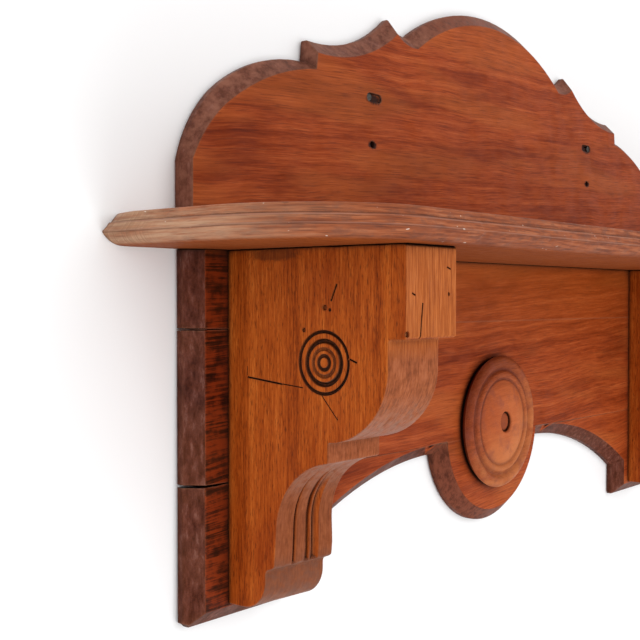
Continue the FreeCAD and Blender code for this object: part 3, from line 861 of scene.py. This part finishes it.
def weathered(shader, colour, bevelled):
    """Grey-brown chamfers, rubbed paler round the crest and redder under the drop."""
    place = shader.place()
    x, y, z = shader.parts(place)
    grey = shader.noise(shader.scaled(place, (1.0, 1.0, 0.35)), 0.22, 5.0, 0.7)
    tone = shader.ramp(grey, (
        (0.36, (0.016, 0.006, 0.004)),
        (0.48, (0.056, 0.019, 0.013)),
        (0.58, (0.095, 0.034, 0.024)),
        (0.70, (0.185, 0.088, 0.069)),
    ))
    colour = shader.mix(shader.product(bevelled, 0.85), colour, tone)
    on_crest = shader.range(z, 8.0, 22.0)
    patchily = shader.range(shader.noise(place, 0.10, 4.0, 0.65), 0.42, 0.66, 0.2, 0.9)
    colour = shader.mix(shader.product(bevelled, on_crest, patchily), colour, (0.250, 0.098, 0.062))
    on_drop = shader.range(shader.size(x), 110.0, 85.0)
    lower_rim = shader.product(bevelled, on_drop, shader.range(grey, 0.40, 0.58, 0.15, 0.85))
    return shader.mix(lower_rim, colour, (0.180, 0.048, 0.023))


def stained_and_shaded_ends(shader, colour, flat, along):
    """Red and black stain on the strip between each bracket and the board's end, with painted shade where
    the strip lies under the shelf beside the bracket.
    """
    place = shader.place()
    x, y, z = shader.parts(place)
    far_out = shader.range(shader.size(x), 322.0, 345.0, 0.0, 1.0, True)
    below = shader.range(z, 2.0, -4.0)
    stain_and_shade_noise = shader.total(
        shader.product(shader.noise(along, 0.6, 4.0, 0.7), 0.62),
        shader.product(shader.noise(place, 0.10, 3.0, 0.6), 0.38),
    )
    tone = shader.ramp(stain_and_shade_noise, (
        (0.42, (0.006, 0.003, 0.002)),
        (0.47, (0.050, 0.008, 0.003)),
        (0.56, (0.200, 0.026, 0.005)),
    ))
    return shader.mix(shader.product(far_out, below, flat, 0.9), colour, tone)


# x and height of the middle, half size and tone of the dark spots painted round the gouge and round the
# hole: dirt, and the painted shade inside them
CREST_DARK_SPOTS = (
    (182.4, 121.5, (11.0, 5.0), (0.016, 0.006, 0.005)),
    (184.0, 86.0, (6.5, 3.6), (0.014, 0.005, 0.004)),
)


def board_material():
    """Red-brown pine with grain along the board, weathered chamfers, stained ends with painted shade and
    a raw back.
    """
    shader = Shader("back_board_wood")
    colour, wood = board_face(shader)
    x, y, z = shader.parts(shader.place())
    normal_y = shader.normal()["Y"]
    on_back = shader.range(normal_y, 0.60, 0.90)
    colour = shader.mix(on_back, colour, (0.50, 0.62, 0.80), "MULTIPLY")
    bevelled = shader.less(shader.range(normal_y, -0.93, -0.80), on_back)
    flat = shader.rest(bevelled)
    colour = weathered(shader, colour, bevelled)
    under_shelf = shader.product(shader.range(z, -80.0, -10.0, 0.0, 0.35), shader.range(z, 2.0, -1.0))
    colour = shader.mix(shader.product(under_shelf, flat), colour, (0.450, 0.098, 0.010))
    # stain and painted shade on the strip beyond each bracket, under the shelf
    colour = stained_and_shaded_ends(shader, colour, flat, wood["along"])
    colour = shader.mix(shader.product(shader.worn_edge(1.6), 0.35), colour, (0.30, 0.15, 0.085))
    # dark spots round the gouges and holes: dirt, and painted shade inside them
    for side in (-1, 1):
        for stain_x, stain_z, half_size, tone in CREST_DARK_SPOTS:
            stain = spot(shader, x, z, (side * stain_x, stain_z), half_size, 0.93)
            colour = shader.mix(stain, colour, tone)
    # painted shade and grime in grooves and corners, and painted shadow in the seams
    colour = shaded_and_grimed(shader, colour, 14, (0.030, 0.009, 0.006))
    scuffs = shader.noise(shader.place(), 0.05, 4.0, 0.6)
    varnish(shader, colour, wood["fine"], scuffs, 0.42, 0.62, 0.22)
    return shader.material


def bracket_front(shader, colour, fibres, not_side):
    """Block painted paler where it faces the front (painted light), pinkish mouldings below it with
    painted shade in the cove, a greyish painted sheen on the undersides and a scraped foot.
    """
    place = shader.place()
    z = shader.parts(place)["Z"]
    normal = shader.normal()
    front_lit = shader.range(normal["Y"], -0.45, -0.85)
    pale = shader.ramp(fibres, (
        (0.32, (0.250, 0.056, 0.010)),
        (0.50, (0.390, 0.106, 0.023)),
        (0.68, (0.520, 0.165, 0.045)),
    ))
    # painted light: faces that look to the front are painted paler
    colour = shader.mix(shader.product(front_lit, 0.75), colour, pale)
    low = shader.range(z, -60.0, -70.0)
    brushed = shader.scaled(place, (1.0, 0.16, 0.16))
    streaky = shader.total(
        shader.product(shader.noise(brushed, 0.75, 4.0, 0.65), 0.6),
        shader.product(shader.noise(place, 0.14, 4.0, 0.65), 0.4),
    )
    pinkish = shader.ramp(streaky, (
        (0.38, (0.120, 0.028, 0.010)),
        (0.50, (0.255, 0.068, 0.025)),
        (0.62, (0.360, 0.112, 0.048)),
    ))
    # painted shade: the cove and the mouldings below it are painted darker
    in_cove = shader.range(z, -136.0, -150.0, 0.0, 0.45)
    pinkish = shader.mix(in_cove, pinkish, (0.100, 0.026, 0.012))
    colour = shader.mix(shader.product(low, not_side, 0.8), colour, pinkish)
    # painted sheen: greyish patches on the faces that look down
    facing_down = shader.range(normal["Z"], -0.35, -0.85)
    sheen_patches = shader.range(shader.noise(place, 0.2, 4.0, 0.7), 0.35, 0.65)
    colour = shader.mix(shader.product(facing_down, low, sheen_patches, 0.8), colour, (0.27, 0.14, 0.095))
    scraped = shader.range(shader.noise(place, 0.16, 5.0, 0.7), 0.36, 0.62, 0.25, 1.5)
    at_foot = shader.product(shader.range(z, -196.0, -206.0), not_side, scraped, 0.5)
    return shader.mix(at_foot, colour, (0.145, 0.060, 0.038))


def bracket_side(shader, colour, on_side):
    """Darker towards the bottom, near black in the rosette's grooves, and a stain at the top."""
    place = shader.place()
    x, y, z = shader.parts(place)
    downward = shader.product(shader.range(z, -80.0, -180.0, 0.0, 0.8), on_side)
    colour = shader.mix(downward, colour, (0.84, 0.72, 0.62), "MULTIPLY")
    off_y = shader.total(y, BOARD_THICKNESS + ROSETTE_DEPTH)
    radius = shader.length(off_y, shader.less(z, ROSETTE_Z))
    on_rosette = shader.range(radius, ROSETTE_RADIUS + 0.6, ROSETTE_RADIUS)
    # the rosette's grooves are painted near black, the more the deeper they are sunk
    sunk = shader.less(BRACKET_OUTER_X, shader.size(x))
    in_groove = shader.range(sunk, 0.35, 1.60, 0.0, 0.92)
    patchy = shader.range(shader.noise(place, 0.5, 3.0, 0.6), 0.35, 0.55, 0.62, 1.0)
    colour = shader.mix(shader.product(on_rosette, in_groove, patchy), colour, (0.036, 0.012, 0.005))
    stain = spot(shader, y, z, (-56.0, -4.5), (26.0, 4.5), 0.55)
    return shader.mix(stain, colour, (0.060, 0.016, 0.006))


def bracket_material():
    """Honey-orange wood with upright grain and short dark flecks."""
    shader = Shader("bracket_wood")
    tones = (
        (0.36, (0.150, 0.022, 0.0018)),
        (0.46, (0.290, 0.050, 0.0042)),
        (0.55, (0.410, 0.082, 0.0085)),
        (0.66, (0.560, 0.145, 0.0210)),
    )
    wood = wood_base(shader, "Z", (40.0, 260.0), 9.0, tones, (0.72, 0.55, 0.45), 0.6)
    short = shader.scaled(shader.place(), (1.0, 1.0, 0.13))
    colour = flecked(shader, wood["colour"], short, 0.6, 1.5, (0.060, 0.011, 0.003))
    not_side = shader.range(shader.size(shader.normal()["X"]), 0.75, 0.45)
    colour = bracket_front(shader, colour, wood["fibres"], not_side)
    colour = bracket_side(shader, colour, shader.rest(not_side))
    colour = shader.mix(shader.product(shader.worn_edge(1.2), 0.45), colour, (0.110, 0.034, 0.016))
    # painted shade and grime in grooves and corners, and painted shadow in the seams
    colour = shaded_and_grimed(shader, colour, 7, (0.035, 0.010, 0.005))
    scuffs = shader.noise(shader.place(), 0.045, 4.0, 0.6)
    varnish(shader, colour, wood["fine"], scuffs, 0.42, 0.62, 0.2)
    return shader.material


# height, half width, tone and strength of each dark and pale line painted along the shelf's moulding
MOULDING_LINES = (
    (14.05, 0.50, (0.080, 0.028, 0.020), 0.50),
    (13.2, 0.40, (0.300, 0.160, 0.120), 0.60),
    (8.5, 0.40, (0.300, 0.160, 0.120), 0.55),
    (7.7, 0.45, (0.090, 0.032, 0.022), 0.60),
)


def shelf_edge(shader, along):
    """Streaks along the moulding, bleached towards the wall, with dark and pale lines along it, end grain
    and chips.
    """
    place = shader.place()
    x, y, z = shader.parts(place)
    colour = shader.ramp(shader.noise(along, 0.55, 5.0, 0.62), (
        (0.30, (0.150, 0.040, 0.020)),
        (0.44, (0.240, 0.065, 0.027)),
        (0.56, (0.330, 0.095, 0.038)),
        (0.72, (0.410, 0.150, 0.072)),
    ))
    short = shader.scaled(place, (0.4, 0.4, 1.0))
    greyed = shader.range(shader.noise(short, 0.20, 5.0, 0.7), 0.50, 0.64, 0.0, 0.5)
    colour = shader.mix(greyed, colour, (0.150, 0.064, 0.045))
    colour = flecked(shader, colour, along, 0.5, 1.3, (0.085, 0.026, 0.016))
    towards_wall = shader.range(y, -175.0, -60.0, 0.0, 1.0, True)
    bleached = shader.range(shader.noise(along, 0.34, 5.0, 0.72), 0.36, 0.62, 0.1, 1.0)
    colour = shader.mix(shader.product(towards_wall, bleached, 0.9), colour, (0.500, 0.300, 0.185))
    broken = shader.range(shader.noise(along, 0.5, 3.0, 0.6), 0.36, 0.52, 0.25, 1.0)
    for height, half_width, tone, amount in MOULDING_LINES:
        off = shader.size(shader.less(z, height))
        line = shader.range(off, half_width, half_width * 0.4, 0.0, amount)
        colour = shader.mix(shader.product(line, broken), colour, tone)
    slanted = shader.total(shader.product(z, 0.6), y)
    combed = shader.range(shader.bands(slanted, 0.75), 0.38, 0.62)
    at_end = shader.range(y, -50.0, -20.0, 0.0, 0.6, True)
    colour = shader.mix(shader.product(at_end, combed), colour, (0.210, 0.110, 0.060))
    chips = shader.range(shader.noise(short, 0.55, 1.0, 0.4), 0.775, 0.80)
    return shader.mix(chips, colour, (0.62, 0.50, 0.42))


def shelf_faces(shader, colour):
    """Smoother wood under the shelf and dull worn wood on top."""
    normal_z = shader.normal()["Z"]
    planed = shader.noise(shader.scaled(shader.place(), GRAIN_STRETCH["X"]), 0.7, 4.0, 0.6)
    underside = shader.ramp(planed, (
        (0.36, (0.165, 0.031, 0.0045)),
        (0.64, (0.300, 0.068, 0.0110)),
    ))
    below = shader.range(normal_z, -0.93, -0.99)
    colour = shader.mix(shader.product(below, 0.92), colour, underside)
    worn_top = shader.ramp(planed, (
        (0.36, (0.190, 0.052, 0.022)),
        (0.64, (0.380, 0.125, 0.055)),
    ))
    above = shader.range(normal_z, 0.93, 0.99)
    return shader.mix(shader.product(above, 0.9), colour, worn_top)


def shelf_material():
    """Reddish brown wood whose moulded edge is worn."""
    shader = Shader("shelf_wood")
    place = shader.place()
    along = shader.scaled(place, (0.05, 0.05, 1.0))
    colour = shelf_edge(shader, along)
    colour = shelf_faces(shader, colour)
    colour = shader.mix(shader.product(shader.worn_edge(1.1), 0.22), colour, (0.300, 0.160, 0.115))
    # painted shade and grime in grooves and corners, and painted shadow in the seams
    colour = shaded_and_grimed(shader, colour, 7, (0.045, 0.016, 0.010), 0.7)
    fine = shader.noise(along, 2.6, 3.0, 0.6)
    scuffs = shader.noise(place, 0.12, 5.0, 0.65)
    varnish(shader, colour, fine, scuffs, 0.50, 0.72, 0.3)
    return shader.material


def boss_material():
    """Turned wood with painted shade, red and dark, at the upper left and painted light, golden, at the
    lower right.
    """
    shader = Shader("boss_wood")
    tones = (
        (0.30, (0.160, 0.032, 0.0085)),
        (0.45, (0.285, 0.062, 0.018)),
        (0.60, (0.400, 0.100, 0.032)),
        (0.75, (0.500, 0.145, 0.050)),
    )
    wood = wood_base(shader, "X", (-30.0, 40.0), 5.0, tones, (0.66, 0.50, 0.42), 0.7)
    colour = flecked(shader, wood["colour"], wood["along"], 0.5, 1.3, (0.100, 0.024, 0.010))
    place = shader.place()
    x, y, z = shader.parts(place)
    height = shader.less(z, BOSS_Z)
    radius = shader.length(x, height)
    low_right = shader.less(shader.product(x, 0.6), height)
    mottle = shader.noise(place, 0.035, 4.0, 0.6)
    on_face = shader.range(radius, 42.0, 30.0, 0.0, 0.45, True)
    colour = shader.mix(on_face, colour, (0.580, 0.145, 0.042))
    # painted shade: darker towards the left
    leftward = shader.range(shader.total(x, shader.product(mottle, 60.0)), 44.0, -22.0)
    colour = shader.mix(shader.product(leftward, 0.65), colour, (0.66, 0.44, 0.40), "MULTIPLY")
    # painted light: golden patches towards the lower right
    lit = shader.range(shader.total(low_right, shader.product(mottle, 50.0)), 0.0, 60.0)
    patchily = shader.range(shader.noise(place, 0.05, 3.0, 0.55), 0.36, 0.60, 0.1, 0.55, True)
    colour = shader.mix(shader.product(patchily, lit), colour, (0.520, 0.180, 0.060))
    # painted shade on the rim at the upper left
    high_left = shader.range(low_right, -12.0, -62.0, 0.0, 0.55)
    on_rim = shader.range(radius, 45.0, 50.0)
    colour = shader.mix(shader.product(high_left, on_rim), colour, (0.120, 0.020, 0.006))
    # painted shade in the two grooves, darker towards the upper left
    groove_shade = shader.range(low_right, 40.0, -40.0, 0.30, 0.80)
    for middle in (OUTER_GROOVE_RADIUS, INNER_GROOVE_RADIUS):
        groove = shader.range(shader.size(shader.less(radius, middle)), 2.2, 0.3, 0.0, 1.0, True)
        colour = shader.mix(shader.product(groove, groove_shade), colour, (0.130, 0.022, 0.010))
    smeared = shader.range(shader.noise(place, 0.07, 4.0, 0.65), 0.50, 0.66, 0.0, 0.5)
    colour = shader.mix(smeared, colour, (0.210, 0.055, 0.036))
    # painted shade in the recess round the plug and over the plug
    in_recess = shader.range(radius, 10.5, 7.0, 0.0, 0.55, True)
    colour = shader.mix(in_recess, colour, (0.150, 0.026, 0.012))
    colour = shader.mix(shader.product(shader.worn_edge(1.5), 0.25), colour, (0.42, 0.20, 0.12))
    # painted shade and grime in grooves and corners, and painted shadow in the seams
    colour = shaded_and_grimed(shader, colour, 6, (0.050, 0.014, 0.008))
    scuffs = shader.noise(place, 0.08, 4.0, 0.6)
    varnish(shader, colour, wood["fine"], scuffs, 0.42, 0.62, 0.22)
    return shader.material


def steel_material(name, brightness):
    """Dull old steel with spots of rust."""
    shader = Shader(name)
    spots = shader.noise(shader.place(), 0.9, 4.0, 0.6)
    colour = shader.ramp(spots, (
        (0.40, (0.250, 0.240, 0.225)),
        (0.56, (0.160, 0.130, 0.110)),
        (0.70, (0.120, 0.050, 0.025)),
    ))
    colour = shader.mix(1.0, colour, (brightness,) * 3, "MULTIPLY")
    shader.link(colour, shader.principled, "Base Color")
    shader.principled.inputs["Metallic"].default_value = 0.85
    shader.link(shader.range(spots, 0.3, 0.7, 0.35, 0.7), shader.principled, "Roughness")
    shader.bump(spots, 0.3, 0.2)
    return shader.material


# ------------------------------------------------------------------ set

def wall_material():
    """White wall, seen and lit only from its front, so the back of the board can be looked at."""
    shader = Shader("white_wall")
    shader.principled.inputs["Base Color"].default_value = (0.90, 0.90, 0.905, 1)
    shader.principled.inputs["Roughness"].default_value = 0.9
    shader.principled.inputs["Specular IOR Level"].default_value = 0.1
    clear = shader.node("BsdfTransparent", {})[0]
    from_behind = shader.node("NewGeometry", {})["Backfacing"]
    shadow = shader.node("LightPath", {})["Is Shadow Ray"]
    either = shader.math("MAXIMUM", from_behind, shadow)
    blend = shader.node("MixShader", {0: either, 1: shader.principled.outputs[0], 2: clear})[0]
    shader.link(blend, shader.tree.nodes["Material Output"], "Surface")
    return shader.material


def wall():
    """The wall that the shelf hangs on, a millimetre behind the board."""
    far = 6000.0
    vertices = [(-far, 1, -far), (far, 1, -far), (far, 1, far), (-far, 1, far)]
    mesh = bpy.data.meshes.new("wall")
    mesh.from_pydata([Vector(v) * MM for v in vertices], [], [(0, 1, 2, 3)])
    backdrop = bpy.data.objects.new("wall", mesh)
    bpy.context.scene.collection.objects.link(backdrop)
    backdrop.data.materials.append(wall_material())


# place, target and width in metres, and power in watts
LAMPS = {
    "front": ((0.7, -2.0, 0.8), (0, 0, 0), 1.8, 9),
    "low": ((0.1, -1.7, -1.3), (0, 0, -0.05), 1.6, 13),
    "left": ((-1.9, -1.2, 0.3), (-0.2, 0, -0.05), 1.4, 7),
    "behind": ((0.6, 1.9, 0.9), (0, 0, 0), 1.6, 16),
}
SURROUNDINGS = 0.90
CAMERA_PLACE = (-859.0, -520.0, -33.0)    # millimetres
CAMERA_TURN = -50.5            # degrees from straight on, seen from above
CAMERA_TIP = -1.05             # degrees from level
FOCAL_LENGTH = 61.4
SENSOR_WIDTH = 36.0


def lighting():
    """Even white surroundings with soft lamps in front, below, at the left and behind."""
    world = bpy.data.worlds.new("studio")
    world.use_nodes = True
    world.node_tree.nodes["Background"].inputs["Color"].default_value = (1, 1, 1, 1)
    world.node_tree.nodes["Background"].inputs["Strength"].default_value = SURROUNDINGS
    bpy.context.scene.world = world
    for name, (place, target, width, power) in LAMPS.items():
        light = bpy.data.lights.new(name, "AREA")
        light.shape = "SQUARE"
        light.size = width
        light.energy = power
        lamp = bpy.data.objects.new(name, light)
        lamp.location = place
        lamp.rotation_euler = (Vector(target) - Vector(place)).to_track_quat("-Z", "Y").to_euler()
        bpy.context.scene.collection.objects.link(lamp)


def camera():
    """Left of the shelf and just below it, looking along the wall."""
    lens = bpy.data.cameras.new("camera")
    lens.sensor_width = SENSOR_WIDTH
    lens.lens = FOCAL_LENGTH
    lens.clip_start = 0.01
    seat = bpy.data.objects.new("camera", lens)
    seat.location = Vector(CAMERA_PLACE) * MM
    seat.rotation_euler = (math.radians(90 + CAMERA_TIP), 0, math.radians(CAMERA_TURN))
    bpy.context.scene.collection.objects.link(seat)
    bpy.context.scene.camera = seat


# ------------------------------------------------------------------ assembly

def dress(piece, material, node):
    """Gives a piece its material and puts it in the place of its CAD node."""
    flat = piece.modifiers.new("flat faces stay flat", "WEIGHTED_NORMAL")
    flat.keep_sharp = True
    flat.weight = 100
    piece.data.materials.clear()
    piece.data.materials.append(material)
    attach(piece, "root")
    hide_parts(node)


board_wood = board_material()
bracket_wood = bracket_material()
boss_wood = boss_material()
steel = steel_material("old_steel", 1.0)
rusty = steel_material("rusty_iron", 0.32)

crest = softened("back_crest", "back_crest_wood", OUTER_SOFTENING)
upper = softened("back_upper_plank", "back_upper_wood", INNER_SOFTENING)
middle = softened("back_middle_plank", "back_middle_wood", INNER_SOFTENING)
bottom = softened("back_bottom_plank", "back_bottom_wood", OUTER_SOFTENING)
ragged_joint(upper, middle, UPPER_JOINT_Z - 0.3, UPPER_CRACK_GAP)
ragged_joint(middle, bottom, LOWER_JOINT_Z - 0.4, LOWER_CRACK_GAP)
chipped_corner(bottom)
dress(crest, board_wood, "back_crest")
dress(upper, board_wood, "back_upper_plank")
dress(middle, board_wood, "back_middle_plank")
dress(bottom, board_wood, "back_bottom_plank")

left_piece, right_piece = brackets()
dress(left_piece, bracket_wood, "left_bracket")
dress(right_piece, bracket_wood, "right_bracket")
dress(shelf(), shelf_material(), "shelf_board")
dress(on_boss(lathe("boss_wood_piece", boss_profile())), boss_wood, "centre_boss")
dress(on_boss(lathe("boss_plug_piece", plug_profile(), 64)), boss_wood, "boss_plug")

for node, material in (
    ("back_dowels", board_wood),
    ("boss_brads", steel),
    ("bracket_screws", steel),
    ("shelf_screws", steel),
    ("crest_nails", rusty),
):
    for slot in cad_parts[node].material_slots:
        slot.material = material

wall()
lighting()
camera()
bpy.context.scene.view_settings.view_transform = "Standard"
